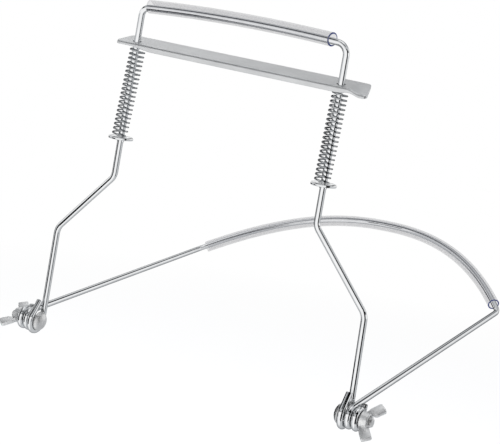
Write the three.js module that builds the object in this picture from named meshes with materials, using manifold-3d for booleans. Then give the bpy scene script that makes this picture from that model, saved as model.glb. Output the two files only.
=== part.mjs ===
// Harmonica holder: a neck rack of bent wire, with a spring-loaded clamp plate and two wing-nut pivots.
// Millimetres, +Z up, +X to the wearer's left, +Y back to the wearer's neck.
// The pieces are built round the pivot axis, which lies on X, and the whole is then moved so that the
// origin is on the neck sleeve, where it rests against the neck.
import * as THREE from 'three';
import * as BufferGeometryUtils from 'three/addons/utils/BufferGeometryUtils.js';
import Module from 'manifold-3d';

const wasm = await Module();
wasm.setup();

// Stock
const wireDiameter = 3.0;
const wireRadius = wireDiameter / 2;
const touchGap = 0.3;

// Clamp frame wire: top bar, legs, shoulders and elbows
const legSpread = 55.6;
const legDepth = 2.6;
const leftLegLean = 1.6;
const barCornerHeight = 163.2;
const barBow = 1.8;
const barLeftBend = 4.0;
const barRightBend = 5.5;
const shoulderHeight = 80.3;
const shoulderBend = 6.0;
const elbowSpread = 85.7;
const elbowDepth = 5.1;
const elbowHeight = 46.8;
const elbowSkew = 1.1;
const elbowBend = 8.0;

// Pivot eyes at the ends of both wires: an open hook on the frame wire, two turns on the neck wire
const eyeTurnGap = 0.45;
const frameEyeLean = 1.2;
const frameEyeClearance = 1.3;
const frameEyeWrap = 215;
const frameTailLength = 8.6;
const neckEyeClearance = 0.4;
const neckEyeShiftStart = 175;
const neckEyeShiftEnd = 305;
const neckTailLength = 6.0;

// Neck wire: two straight runs and the loop behind the neck
const neckBendSpread = 94.7;
const neckBendDepth = 170.6;
const neckBendHeight = 26.5;
const neckTwist = 4.1;
const neckBendRadius = 9.0;
const neckLoopDepth = 49.3;
const neckLoopRise = 28.7;
const neckLoopPower = 2.25;

// Clear plastic sleeves
const barSleeveOuter = 6.5;
const barSleeveWall = 0.7;
const barSleeveLeftEnd = 50.2;
const barSleeveRightEnd = 48.4;
const neckSleeveOuter = 6.4;
const neckSleeveWall = 0.7;
const neckSleeveLeftShare = 0.97;
const neckSleeveRightShare = 0.95;

// Pivot bolts and wing nuts
const boltDiameter = 5.0;
const boltRadius = boltDiameter / 2;
const boltHeadDiameter = 9.8;
const boltHeadHeight = 3.0;
const boltProtrusion = 1.5;
const boltEndChamfer = 0.5;
const nutHubLength = 3.8;
const nutFaceDiameter = 8.4;
const nutEndDiameter = 7.4;
const nutEdgeRound = 0.4;
const wingWidth = 5.1;
const wingThickness = 1.8;
const wingRootRadius = 3.3;
const wingTipRadius = 9.6;
const wingTipReach = 4.9;
const wingTipRound = 0.9;
const leftNutAngle = 25;
const rightNutAngle = 39;

// Stop washers, the ears that hold them, and the springs
const washerSeatHeight = 98.9;
const washerThickness = 1.3;
const washerDiameter = 12.0;
const washerHole = 3.8;
const earWidth = 5.2;
const earThickness = 1.7;
const earHeight = 3.2;
const springWire = 0.8;
const springOuter = 7.7;
const springTurns = 20;
const springFootShift = -1.1;
const leftSpringHeadShift = 1.1;
const rightSpringHeadShift = 0.3;

// Clamp plate
const plateHeight = 146.2;
const plateTilt = 11;
const plateRoll = 0.7;
const plateSheet = 1.2;
const plateFront = 5.4;
const plateRear = 10.6;
const plateLeftReach = 7.8;
const plateRightReach = 15.8;
const plateRightRearReach = 10.2;
const plateLipHeight = 2.7;
const plateLipEdge = 0.25;
const plateLipLeftFade = 14.0;
const plateLipRightReach = 5.0;
const plateBend = 0.9;
const plateHole = 4.4;
const plateTabDrop = 1.7;
const plateTabStart = 5.5;
const plateTabBendLength = 7.0;
const plateCornerRound = 2.6;
const plateTabBendShare = 1.5;

// Counts
const wireSides = 8;
const coilStepsPerTurn = 16;
const bendSteps = 5;
const barSteps = 12;
const loopSteps = 48;
const barSleeveSides = 12;
const neckSleeveSides = 10;
const roundSides = 24;
const holeSides = 16;
const springSides = 5;
const springStepsPerTurn = 8;
const domeSteps = 6;
const cornerSteps = 4;
const tabSteps = 8;

// Surfaces
const chrome = { color: 0xd4d6d8, roughness: 0.16, metalness: 1.0 };
const springSteel = { color: 0xb9bcbf, roughness: 0.24, metalness: 1.0 };
const polishedSteel = { color: 0xc4c6c8, roughness: 0.2, metalness: 1.0 };
const nickel = { color: 0xb4b5b6, roughness: 0.3, metalness: 1.0 };
const zinc = { color: 0xa3a4a5, roughness: 0.45, metalness: 1.0 };
const clearVinyl = { color: 0xe4ebf2, roughness: 0.12, metalness: 0.0 };

// Stack of pieces along each pivot, from the bolt head outwards
const eyePitch = wireDiameter + eyeTurnGap;
const frameEyeRadius = boltRadius + frameEyeClearance + wireRadius;
const neckEyeRadius = boltRadius + neckEyeClearance + wireRadius;
const frameEyeSpread = elbowSpread + frameEyeLean;
const headFaceSpread = frameEyeSpread - wireRadius - touchGap;
const neckInnerSpread = frameEyeSpread + wireDiameter + touchGap;
const neckOuterSpread = neckInnerSpread + eyePitch;
const nutFaceSpread = neckOuterSpread + wireRadius + touchGap;
const nutEndSpread = nutFaceSpread + nutHubLength;
const boltEndSpread = nutEndSpread + boltProtrusion;

// Frames and paths

const LEFT = -1;
const RIGHT = 1;
const sideNames = new Map([[LEFT, 'left'], [RIGHT, 'right']]);

/** A centre line with a ring of the tube at each station: a point, and the direction square to the ring. */
class WirePath extends THREE.Curve {
  constructor(stations) {
    super();
    this.stations = stations;
  }

  locate(t) {
    const place = Math.min(Math.max(t, 0), 1) * (this.stations.length - 1);
    const index = Math.min(Math.floor(place), this.stations.length - 2);
    return { here: this.stations[index], next: this.stations[index + 1], share: place - index };
  }

  getPoint(t, target = new THREE.Vector3()) {
    const { here, next, share } = this.locate(t);
    return target.lerpVectors(here.point, next.point, share);
  }

  getTangent(t, target = new THREE.Vector3()) {
    const { here, next, share } = this.locate(t);
    return target.lerpVectors(here.tangent, next.tangent, share).normalize();
  }

  getUtoTmapping(u) {
    return u;
  }

  reversed() {
    const turned = this.stations.map(({ point, tangent }) => ({ point, tangent: tangent.clone().negate() }));
    return turned.reverse();
  }
}

/** Stations along straight runs between vertices, with a round bend at each vertex that has a radius. */
function bentStations(vertices) {
  const stations = [];
  vertices.forEach(({ point, bend = 0 }, index) => {
    const before = vertices[index - 1];
    const after = vertices[index + 1];
    if (!before || !after) {
      const tangent = before ? point.clone().sub(before.point) : after.point.clone().sub(point);
      stations.push({ point, tangent: tangent.normalize() });
      return;
    }
    const arriving = point.clone().sub(before.point).normalize();
    const leaving = after.point.clone().sub(point).normalize();
    if (bend === 0) {
      stations.push({ point, tangent: arriving.add(leaving).normalize() });
      return;
    }
    const turn = arriving.angleTo(leaving);
    const run = bend * Math.tan(turn / 2);
    const start = point.clone().addScaledVector(arriving, -run);
    const inward = leaving.clone().addScaledVector(arriving, -arriving.dot(leaving)).normalize();
    for (let step = 0; step <= bendSteps; step++) {
      const angle = turn * step / bendSteps;
      stations.push({
        point: start.clone()
          .addScaledVector(arriving, bend * Math.sin(angle))
          .addScaledVector(inward, bend * (1 - Math.cos(angle))),
        tangent: arriving.clone().multiplyScalar(Math.cos(angle)).addScaledVector(inward, Math.sin(angle)),
      });
    }
  });
  return stations;
}

/** Directions along a list of points, from each point's neighbours. */
function stationsThrough(points) {
  return points.map((point, index) => {
    const before = points[Math.max(index - 1, 0)];
    const after = points[Math.min(index + 1, points.length - 1)];
    return { point, tangent: after.clone().sub(before).normalize() };
  });
}

function smoothShare(value, start, end) {
  const share = THREE.MathUtils.clamp((value - start) / (end - start), 0, 1);
  return share * share * (3 - 2 * share);
}

/** An eye wound round the pivot: angles are measured from +Y towards +Z, x is the spread of each angle. */
function eyeStations(side, eyeRadius, startAngle, wrap, turnSense, spreadAt, tailLength) {
  const steps = Math.ceil(Math.abs(wrap) / (360 / coilStepsPerTurn));
  const points = [];
  for (let step = 0; step <= steps; step++) {
    const wound = wrap * step / steps;
    const angle = THREE.MathUtils.degToRad(startAngle + turnSense * wound);
    points.push(new THREE.Vector3(
      side * spreadAt(wound), eyeRadius * Math.cos(angle), eyeRadius * Math.sin(angle)));
  }
  const stations = stationsThrough(points);
  stations.forEach((station, step) => {
    const angle = THREE.MathUtils.degToRad(startAngle + turnSense * wrap * step / steps);
    const lean = station.tangent.x;
    station.tangent.set(0, -Math.sin(angle), Math.cos(angle)).multiplyScalar(turnSense);
    station.tangent.x = lean;
    station.tangent.normalize();
  });
  const last = stations[stations.length - 1];
  last.tangent.x = 0;
  last.tangent.normalize();
  stations.push({
    point: last.point.clone().addScaledVector(last.tangent, tailLength),
    tangent: last.tangent.clone(),
  });
  return stations;
}

/** Angle of the point where a straight run from a place beside the pivot meets the eye. */
function meetingAngle(place, eyeRadius, sense) {
  const reach = Math.hypot(place.y, place.z);
  return THREE.MathUtils.radToDeg(Math.atan2(place.z, place.y) + sense * Math.acos(eyeRadius / reach));
}

function polygon(radius, sides) {
  return Array.from({ length: sides }, (_, index) => {
    const angle = (index + 0.5) * 2 * Math.PI / sides;
    return new THREE.Vector2(radius * Math.cos(angle), radius * Math.sin(angle));
  });
}

function tubeAlong(stations, outerRadius, sides, innerRadius = 0) {
  const section = new THREE.Shape(polygon(outerRadius, sides));
  if (innerRadius > 0) {
    section.holes.push(new THREE.Path(polygon(innerRadius, sides).reverse()));
  }
  return new THREE.ExtrudeGeometry(section, {
    steps: stations.length - 1,
    extrudePath: new WirePath(stations),
  });
}

// Joining and cutting

function toSolid(geometry) {
  const bare = geometry.clone();
  bare.deleteAttribute('normal');
  bare.deleteAttribute('uv');
  const merged = BufferGeometryUtils.mergeVertices(bare);
  return new wasm.Manifold(new wasm.Mesh({
    numProp: 3,
    vertProperties: new Float32Array(merged.attributes.position.array),
    triVerts: new Uint32Array(merged.index.array),
  }));
}

function toGeometry(solid) {
  const mesh = solid.getMesh();
  const geometry = new THREE.BufferGeometry();
  geometry.setAttribute('position', new THREE.BufferAttribute(new Float32Array(mesh.vertProperties), 3));
  geometry.setIndex(new THREE.BufferAttribute(new Uint32Array(mesh.triVerts), 1));
  geometry.computeVertexNormals();
  return geometry;
}

/** A closed profile of radius and height turned about Z, then laid along X towards one side. */
function turnedAlongX(profile, side, spread) {
  const geometry = new THREE.LatheGeometry(profile, roundSides);
  geometry.rotateX(Math.PI / 2);
  geometry.rotateY(side * Math.PI / 2);
  geometry.translate(side * spread, 0, 0);
  return geometry;
}

// Clamp frame wire

const barHeightAt = (x) => barCornerHeight + barBow * (1 - (x / legSpread) ** 2);

function barPoints(from, to, lift) {
  const step = 2 * legSpread / barSteps;
  const points = [];
  for (let index = 1; index < barSteps; index++) {
    const x = -legSpread + index * step;
    if (x > from && x < to) {
      points.push(new THREE.Vector3(x, legDepth, barHeightAt(x) + lift));
    }
  }
  return points;
}

/** Where a leg's centre line stands at a height: the left leg leans towards the middle. */
function legPlaceAt(side, height) {
  const lean = side === LEFT ? leftLegLean : 0;
  return side * (legSpread - lean * (height - shoulderHeight) / (barCornerHeight - shoulderHeight));
}

function frameSideVertices(side) {
  const elbow = new THREE.Vector3(side * elbowSpread, elbowDepth, elbowHeight - side * elbowSkew);
  const meeting = meetingAngle(elbow, frameEyeRadius, -1);
  const angle = THREE.MathUtils.degToRad(meeting);
  const entry = new THREE.Vector3(
    side * frameEyeSpread, frameEyeRadius * Math.cos(angle), frameEyeRadius * Math.sin(angle));
  const cornerPlace = legPlaceAt(side, barCornerHeight);
  return {
    corner: {
      point: new THREE.Vector3(cornerPlace, legDepth, barHeightAt(cornerPlace)),
      bend: side === LEFT ? barLeftBend : barRightBend,
    },
    shoulder: { point: new THREE.Vector3(side * legSpread, legDepth, shoulderHeight), bend: shoulderBend },
    elbow: { point: elbow, bend: elbowBend },
    entry: { point: entry },
    eye: eyeStations(
      side, frameEyeRadius, meeting, frameEyeWrap, -1, () => frameEyeSpread, frameTailLength),
  };
}

function frameStations() {
  const left = frameSideVertices(LEFT);
  const right = frameSideVertices(RIGHT);
  const run = bentStations([
    left.entry, left.elbow, left.shoulder, left.corner,
    ...barPoints(-legSpread, legSpread, 0).map((point) => ({ point })),
    right.corner, right.shoulder, right.elbow, right.entry,
  ]);
  return [
    ...new WirePath(left.eye).reversed(),
    ...run.slice(1, -1),
    ...right.eye,
  ];
}

/** The ears pressed out of a leg to hold a stop washer: wide under the washer, fading into the wire. */
function earGeometry(side) {
  const top = washerSeatHeight - touchGap;
  const outline = new THREE.Shape();
  outline.moveTo(-earWidth / 2, top);
  outline.lineTo(-earWidth / 2, top - earThickness / 2);
  outline.lineTo(-wireRadius / 2, top - earHeight);
  outline.lineTo(wireRadius / 2, top - earHeight);
  outline.lineTo(earWidth / 2, top - earThickness / 2);
  outline.lineTo(earWidth / 2, top);
  outline.closePath();
  const geometry = new THREE.ExtrudeGeometry(outline, { depth: earThickness, bevelEnabled: false });
  geometry.translate(0, 0, -earThickness / 2);
  geometry.rotateX(Math.PI / 2);
  geometry.translate(legPlaceAt(side, top), legDepth, 0);
  return geometry;
}

function frameWireGeometry() {
  const ears = [LEFT, RIGHT].map((side) => toSolid(earGeometry(side)));
  return toGeometry(toSolid(tubeAlong(frameStations(), wireRadius, wireSides)).add(ears[0]).add(ears[1]));
}

// Neck wire

/** A point of the loop behind the neck; share runs from -1 at the left bend to 1 at the right bend. */
function loopPoint(share, drop) {
  const bulge = 1 - Math.abs(share) ** neckLoopPower;
  return new THREE.Vector3(
    neckBendSpread * share,
    neckBendDepth + neckLoopDepth * bulge,
    neckBendHeight + neckLoopRise * bulge + neckTwist * share - drop);
}

function neckSide(side) {
  const bendPoint = loopPoint(side, 0);
  const meeting = meetingAngle(bendPoint, neckEyeRadius, 1);
  const angle = THREE.MathUtils.degToRad(meeting);
  const entry = new THREE.Vector3(
    side * neckInnerSpread, neckEyeRadius * Math.cos(angle), neckEyeRadius * Math.sin(angle));
  const spreadAt = (wound) => neckInnerSpread
    + eyePitch * smoothShare(wound, neckEyeShiftStart, neckEyeShiftEnd);
  const wrap = 720 - meeting;
  return {
    bend: { point: bendPoint, bend: neckBendRadius },
    entry: { point: entry },
    eye: eyeStations(side, neckEyeRadius, meeting, wrap, 1, spreadAt, neckTailLength),
  };
}

const loopShares = Array.from({ length: loopSteps - 1 }, (_, index) => 2 * (index + 1) / loopSteps - 1);

function neckStations() {
  const left = neckSide(LEFT);
  const right = neckSide(RIGHT);
  const run = bentStations([
    left.entry, left.bend,
    ...loopShares.map((share) => ({ point: loopPoint(share, 0) })),
    right.bend, right.entry,
  ]);
  return [
    ...new WirePath(left.eye).reversed(),
    ...run.slice(1, -1),
    ...right.eye,
  ];
}

// Sleeves

/** How far a sleeve's centre lies from the wire that it hangs on or lies over. */
function sleeveSlack(outer, wall, sides) {
  return (outer / 2 - wall) * Math.cos(Math.PI / sides) - wireRadius - touchGap;
}

function barSleeveGeometry() {
  const lift = sleeveSlack(barSleeveOuter, barSleeveWall, barSleeveSides);
  const end = (x) => new THREE.Vector3(x, legDepth, barHeightAt(x) + lift);
  const points = [
    end(-barSleeveLeftEnd),
    ...barPoints(-barSleeveLeftEnd, barSleeveRightEnd, lift),
    end(barSleeveRightEnd),
  ];
  return tubeAlong(stationsThrough(points), barSleeveOuter / 2, barSleeveSides,
    barSleeveOuter / 2 - barSleeveWall);
}

const neckSleeveDrop = sleeveSlack(neckSleeveOuter, neckSleeveWall, neckSleeveSides);

function neckSleeveGeometry() {
  const inner = loopShares.filter((share) => share > -neckSleeveLeftShare && share < neckSleeveRightShare);
  const shares = [-neckSleeveLeftShare, ...inner, neckSleeveRightShare];
  const points = shares.map((share) => loopPoint(share, neckSleeveDrop));
  return tubeAlong(stationsThrough(points), neckSleeveOuter / 2, neckSleeveSides,
    neckSleeveOuter / 2 - neckSleeveWall);
}

// Bolts and wing nuts

function boltGeometry(side) {
  const headRadius = boltHeadDiameter / 2;
  const profile = [];
  for (let step = 0; step <= domeSteps; step++) {
    const angle = (Math.PI / 2) * (1 - step / domeSteps);
    profile.push(new THREE.Vector2(
      step === 0 ? 0 : headRadius * Math.cos(angle), -boltHeadHeight * Math.sin(angle)));
  }
  const shank = boltEndSpread - headFaceSpread;
  profile.push(new THREE.Vector2(boltRadius, 0));
  profile.push(new THREE.Vector2(boltRadius, shank - boltEndChamfer));
  profile.push(new THREE.Vector2(boltRadius - boltEndChamfer, shank));
  profile.push(new THREE.Vector2(0, shank));
  return turnedAlongX(profile, side, headFaceSpread);
}

/** One wing in the plane through the bolt: first coordinate out from the axis, second along it. */
function wingOutline() {
  const root = new THREE.Vector2(wingRootRadius, nutHubLength / 2);
  const tip = new THREE.Vector2(wingTipRadius, nutHubLength / 2 + wingTipReach);
  const along = tip.clone().sub(root).normalize();
  const across = new THREE.Vector2(along.y, -along.x);
  const corner = (from, back, out) => from.clone().addScaledVector(along, -back).addScaledVector(across, out);
  const half = wingWidth / 2;
  return new THREE.Shape([
    new THREE.Vector2(wingRootRadius, nutEdgeRound),
    new THREE.Vector2(nutFaceDiameter / 2, nutEdgeRound),
    corner(tip, wingWidth, half),
    corner(tip, wingTipRound, half),
    corner(tip, 0, half - wingTipRound),
    corner(tip, 0, wingTipRound - half),
    corner(tip, wingTipRound, -half),
    corner(tip, wingWidth, -half),
    new THREE.Vector2(nutEndDiameter / 2, nutHubLength - nutEdgeRound / 2),
    new THREE.Vector2(wingRootRadius, nutHubLength - nutEdgeRound),
  ]);
}

function wingNutGeometry(side, restAngle) {
  const boreRadius = boltRadius + touchGap;
  const hub = turnedAlongX([
    new THREE.Vector2(boreRadius, 0),
    new THREE.Vector2(nutFaceDiameter / 2, 0),
    new THREE.Vector2(nutEndDiameter / 2, nutHubLength - nutEdgeRound),
    new THREE.Vector2(nutEndDiameter / 2 - nutEdgeRound, nutHubLength),
    new THREE.Vector2(boreRadius, nutHubLength),
    new THREE.Vector2(boreRadius, 0),
  ], side, nutFaceSpread);
  let nut = toSolid(hub);
  for (const wing of [0, 1]) {
    const blade = new THREE.ExtrudeGeometry(wingOutline(), { depth: wingThickness, bevelEnabled: false });
    blade.translate(0, 0, -wingThickness / 2);
    const frame = new THREE.Matrix4().makeBasis(
      new THREE.Vector3(0, 1, 0), new THREE.Vector3(side, 0, 0), new THREE.Vector3(0, 0, -side));
    blade.applyMatrix4(frame);
    blade.rotateX(THREE.MathUtils.degToRad(restAngle) + wing * Math.PI);
    blade.translate(side * nutFaceSpread, 0, 0);
    nut = nut.add(toSolid(blade));
  }
  return toGeometry(nut);
}

// Washers and springs

function washerGeometry(side) {
  const geometry = new THREE.LatheGeometry([
    new THREE.Vector2(washerHole / 2, 0),
    new THREE.Vector2(washerDiameter / 2, 0),
    new THREE.Vector2(washerDiameter / 2, washerThickness),
    new THREE.Vector2(washerHole / 2, washerThickness),
    new THREE.Vector2(washerHole / 2, 0),
  ], roundSides);
  geometry.rotateX(Math.PI / 2);
  geometry.translate(legPlaceAt(side, washerSeatHeight), legDepth, washerSeatHeight);
  return geometry;
}

/** Height of the plate's top face at a place, before the thumb tab bends down. */
function plateTopAt(x, y) {
  return plateHeight
    + (y - legDepth) * Math.tan(THREE.MathUtils.degToRad(plateTilt))
    - x * Math.tan(THREE.MathUtils.degToRad(plateRoll));
}

const springMeanRadius = (springOuter - springWire) / 2;

/** The points of a spring, which stands askew on its leg by the play that its coil has there. */
function springPoints(side) {
  const reach = springOuter / 2;
  const sheetDrop = plateSheet / Math.cos(THREE.MathUtils.degToRad(plateTilt));
  const bottom = washerSeatHeight + washerThickness + touchGap + springWire / 2;
  const foot = legPlaceAt(side, bottom) + springFootShift;
  const head = legPlaceAt(side, plateHeight) + (side === LEFT ? leftSpringHeadShift : rightSpringHeadShift);
  const lowest = Math.min(
    plateTopAt(head + reach, legDepth - reach),
    plateTopAt(head - reach, legDepth - reach));
  const top = lowest - sheetDrop - touchGap - springWire / 2;
  const steps = springTurns * springStepsPerTurn;
  const points = [];
  for (let step = 0; step <= steps; step++) {
    const angle = 2 * Math.PI * step / springStepsPerTurn;
    points.push(new THREE.Vector3(
      foot + (head - foot) * step / steps + springMeanRadius * Math.cos(angle),
      legDepth + springMeanRadius * Math.sin(angle),
      bottom + (top - bottom) * step / steps));
  }
  return points;
}

/** The spring's centre line, with both ends running straight and level for one wire diameter. */
function springStations(side) {
  const points = springPoints(side);
  const stations = stationsThrough(points);
  const first = stations[0];
  const last = stations[stations.length - 1];
  first.tangent = new THREE.Vector3(0, 1, 0);
  last.tangent = new THREE.Vector3(0, 1, 0);
  const lead = (station, length) => ({
    point: station.point.clone().addScaledVector(station.tangent, length),
    tangent: station.tangent.clone(),
  });
  return [lead(first, -springWire), ...stations, lead(last, springWire)];
}

/** Least gap between turns, measured on the points of the centre line. */
function leastTurnGap(stations) {
  let least = Infinity;
  const skip = springStepsPerTurn / 2;
  for (let one = 0; one < stations.length; one++) {
    for (let other = one + skip; other < stations.length; other++) {
      least = Math.min(least, stations[one].point.distanceTo(stations[other].point));
    }
  }
  return least - springWire;
}

function springGeometry(side) {
  const stations = springStations(side);
  console.log(`${sideNames.get(side)} spring, least gap between turns: ${leastTurnGap(stations).toFixed(2)} mm`);
  return tubeAlong(stations, springWire / 2, springSides);
}

// Clamp plate

const plateLeftEnd = -(legSpread + plateLeftReach);
const plateRightEnd = legSpread + plateRightReach;
const plateFrontEdge = legDepth - plateFront;
const plateRearEdge = legDepth + plateRear;
const plateLipEnd = legSpread + plateLipRightReach;

/** How far a rounded corner draws an edge in, at a distance from the plate's end. */
function cornerInset(fromEnd) {
  const into = Math.max(plateCornerRound - fromEnd, 0);
  return plateCornerRound - Math.sqrt(Math.max(plateCornerRound ** 2 - into ** 2, 0));
}

/** Height of the turned-down lip below the top face along the plate. */
function lipAt(x) {
  const left = smoothShare(x, -legSpread, -legSpread + plateLipLeftFade);
  const right = 1 - smoothShare(x, plateLipEnd - plateLipRightReach, plateLipEnd + plateLipRightReach);
  return plateSheet + plateLipEdge + (plateLipHeight - plateSheet - plateLipEdge) * left * right;
}

/** The places along the plate where its section is drawn. */
function platePlaces() {
  const places = [];
  for (let step = 0; step <= cornerSteps; step++) {
    const angle = (Math.PI / 2) * step / cornerSteps;
    places.push(plateLeftEnd + plateCornerRound * (1 - Math.cos(angle)));
  }
  places.push(-legSpread);
  for (let step = 1; step <= cornerSteps; step++) {
    places.push(-legSpread + plateLipLeftFade * step / cornerSteps);
  }
  const tabStart = legSpread;
  const tabEnd = plateRightEnd - plateCornerRound;
  for (let step = 0; step <= tabSteps; step++) {
    places.push(tabStart + (tabEnd - tabStart) * step / tabSteps);
  }
  for (let step = 1; step <= cornerSteps; step++) {
    const angle = (Math.PI / 2) * step / cornerSteps;
    places.push(tabEnd + plateCornerRound * Math.sin(angle));
  }
  return places;
}

/** Section of the plate at one place: top face, front bend, lip and underside, going round once. */
function plateSection(x) {
  const fromEnd = Math.min(x - plateLeftEnd, plateRightEnd - x);
  const inset = cornerInset(fromEnd);
  const front = plateFrontEdge + inset;
  const rear = plateRearEdge - inset;
  const lip = lipAt(x);
  const tabStart = legSpread + plateTabStart;
  const drop = plateTabDrop * smoothShare(x, tabStart, tabStart + plateTabBendLength);
  const slant = (plateRightReach - plateRightRearReach) * THREE.MathUtils.clamp(
    (x - legSpread) / plateRightReach, 0, 1);
  const softBend = plateBend * (1 - Math.SQRT1_2);
  const outline = [
    [rear, 0],
    [front + plateBend, 0],
    [front + softBend, -softBend],
    [front, -plateBend],
    [front, -lip],
    [front + plateSheet, -lip],
    [front + plateSheet + plateLipEdge, -plateSheet],
    [rear, -plateSheet],
  ];
  return outline.map(([y, depth]) => {
    const rearShare = (y - plateFrontEdge) / (plateRearEdge - plateFrontEdge);
    const frontShare = 1 - rearShare;
    return new THREE.Vector3(
      x - slant * rearShare,
      y,
      plateTopAt(x, y) + depth - drop * frontShare ** plateTabBendShare);
  });
}

/** A closed skin over a row of sections that all have the same number of points. */
function loftGeometry(sections) {
  const count = sections[0].length;
  const positions = sections.flatMap((section) => section.flatMap((point) => point.toArray()));
  const faces = [];
  for (let row = 0; row < sections.length - 1; row++) {
    for (let index = 0; index < count; index++) {
      const here = row * count + index;
      const beside = row * count + (index + 1) % count;
      faces.push(here, beside, here + count);
      faces.push(beside, beside + count, here + count);
    }
  }
  const addCap = (offset, points, flip) => {
    const flat = points.map((point) => new THREE.Vector2(point.y, point.z));
    for (const [a, b, c] of THREE.ShapeUtils.triangulateShape(flat, [])) {
      faces.push(offset + a, offset + (flip ? c : b), offset + (flip ? b : c));
    }
  };
  addCap(0, sections[0], true);
  addCap((sections.length - 1) * count, sections[sections.length - 1], false);
  const geometry = new THREE.BufferGeometry();
  geometry.setAttribute('position', new THREE.BufferAttribute(new Float32Array(positions), 3));
  geometry.setIndex(faces);
  return geometry;
}

function plateGeometry() {
  let plate = toSolid(loftGeometry(platePlaces().map(plateSection)));
  for (const side of [LEFT, RIGHT]) {
    const drillLength = plateHole + plateLipHeight;
    const drill = new THREE.CylinderGeometry(plateHole / 2, plateHole / 2, drillLength, holeSides);
    drill.rotateX(Math.PI / 2);
    const place = legPlaceAt(side, plateHeight);
    drill.translate(place, legDepth, plateTopAt(place, legDepth));
    plate = plate.subtract(toSolid(drill));
  }
  return toGeometry(plate);
}

// Assembly

const holder = new THREE.Group();

function addPiece(name, geometry, surface) {
  const mesh = new THREE.Mesh(geometry, new THREE.MeshStandardMaterial(surface));
  mesh.name = name;
  holder.add(mesh);
}

addPiece('neck_wire', tubeAlong(neckStations(), wireRadius, wireSides), chrome);
addPiece('neck_sleeve', neckSleeveGeometry(), clearVinyl);
addPiece('clamp_frame_wire', frameWireGeometry(), chrome);
addPiece('top_bar_sleeve', barSleeveGeometry(), clearVinyl);
addPiece('clamp_plate', plateGeometry(), polishedSteel);

for (const side of [LEFT, RIGHT]) {
  const name = sideNames.get(side);
  addPiece(`${name}_bolt`, boltGeometry(side), nickel);
  addPiece(`${name}_wing_nut`, wingNutGeometry(side, side === LEFT ? leftNutAngle : rightNutAngle), zinc);
  addPiece(`${name}_stop_washer`, washerGeometry(side), nickel);
  addPiece(`${name}_spring`, springGeometry(side), springSteel);
}

// The origin goes to the neck sleeve's front side, in the middle of the loop
const middle = loopPoint(0, neckSleeveDrop);
holder.position.set(0, neckSleeveOuter / 2 - middle.y, -middle.z);

export default holder;
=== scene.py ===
"""Looks of a harmonica holder: a neck rack of bent wire with a sprung clamp plate and two pivots.

Sizes are in millimetres where a name ends in _mm or belongs to a sub-assembly's fields, and become
metres through the MM constant. Places are given about the pivot axis, as on a drawing of the rack, and
move to the frame's origin through the Datum class.
"""
import logging
import math
from collections.abc import Callable
from dataclasses import dataclass, field
from enum import Enum
from functools import cache

import bmesh
import bpy
from mathutils import Matrix, Vector


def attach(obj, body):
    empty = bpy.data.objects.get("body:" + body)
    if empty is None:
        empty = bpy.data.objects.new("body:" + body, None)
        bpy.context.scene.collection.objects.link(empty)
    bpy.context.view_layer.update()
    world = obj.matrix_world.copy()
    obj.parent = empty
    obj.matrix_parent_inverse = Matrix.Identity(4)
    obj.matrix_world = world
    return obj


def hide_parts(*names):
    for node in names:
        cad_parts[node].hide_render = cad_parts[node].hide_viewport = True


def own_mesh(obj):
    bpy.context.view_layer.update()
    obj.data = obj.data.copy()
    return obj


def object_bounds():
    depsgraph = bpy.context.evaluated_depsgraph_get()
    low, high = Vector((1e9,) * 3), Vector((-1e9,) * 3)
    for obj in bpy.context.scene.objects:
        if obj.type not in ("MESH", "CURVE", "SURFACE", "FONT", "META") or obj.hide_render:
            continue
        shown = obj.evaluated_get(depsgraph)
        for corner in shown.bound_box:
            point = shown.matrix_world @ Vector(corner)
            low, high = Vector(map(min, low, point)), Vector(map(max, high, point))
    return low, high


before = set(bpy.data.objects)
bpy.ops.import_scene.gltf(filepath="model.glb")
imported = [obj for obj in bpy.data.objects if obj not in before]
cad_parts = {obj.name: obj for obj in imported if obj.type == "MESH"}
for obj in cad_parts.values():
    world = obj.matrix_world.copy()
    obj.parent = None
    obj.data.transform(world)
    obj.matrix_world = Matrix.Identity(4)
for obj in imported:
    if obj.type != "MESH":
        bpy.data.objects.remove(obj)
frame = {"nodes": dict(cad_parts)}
CAD_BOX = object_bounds()
MM = 0.001
WIRE_SHARP_DEGREES = 35.0
LOG = logging.getLogger("harmonica_holder")


class Side(Enum):
    """The two sides of the rack, seen from the front: the sign of X."""

    LEFT = -1
    RIGHT = 1

    @property
    def word(self) -> str:
        """The side's name in piece and node names."""
        return self.name.lower()


class Body(Enum):
    """The bodies that the pieces ride on."""

    NECK = "neck"
    ARM = "arm_frame"
    CLAMP = "clamp"
    LEFT_NUT = "left_nut"
    RIGHT_NUT = "right_nut"


@dataclass(frozen=True)
class Datum:
    """Where the pivot axis lies in the frame: the neck sleeve's front is the origin."""

    depth_mm: float = -216.7
    height_mm: float = -54.6224

    def place(self, x: float, y: float, z: float) -> Vector:
        """Turn a place about the pivot axis into the frame's metres.

        Args:
            x: Distance to the right of the middle, in millimetres.
            y: Distance behind the pivot axis, in millimetres.
            z: Height above the pivot axis, in millimetres.

        Returns:
            The place in the frame, in metres.
        """
        return Vector((x, y + self.depth_mm, z + self.height_mm)) * MM


DATUM = Datum()


# Colour and nodes

def linear(hex_colour: str, alpha: float = 1.0) -> tuple[float, float, float, float]:
    """Turn an sRGB hex colour into linear light.

    Args:
        hex_colour: Six hex digits, such as "c8cacc".
        alpha: Opacity.

    Returns:
        Red, green, blue and alpha for a shader socket.
    """
    channels = [int(hex_colour[i:i + 2], 16) / 255 for i in (0, 2, 4)]
    light = [c / 12.92 if c <= 0.04045 else ((c + 0.055) / 1.055) ** 2.4 for c in channels]
    return (*light, alpha)


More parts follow.
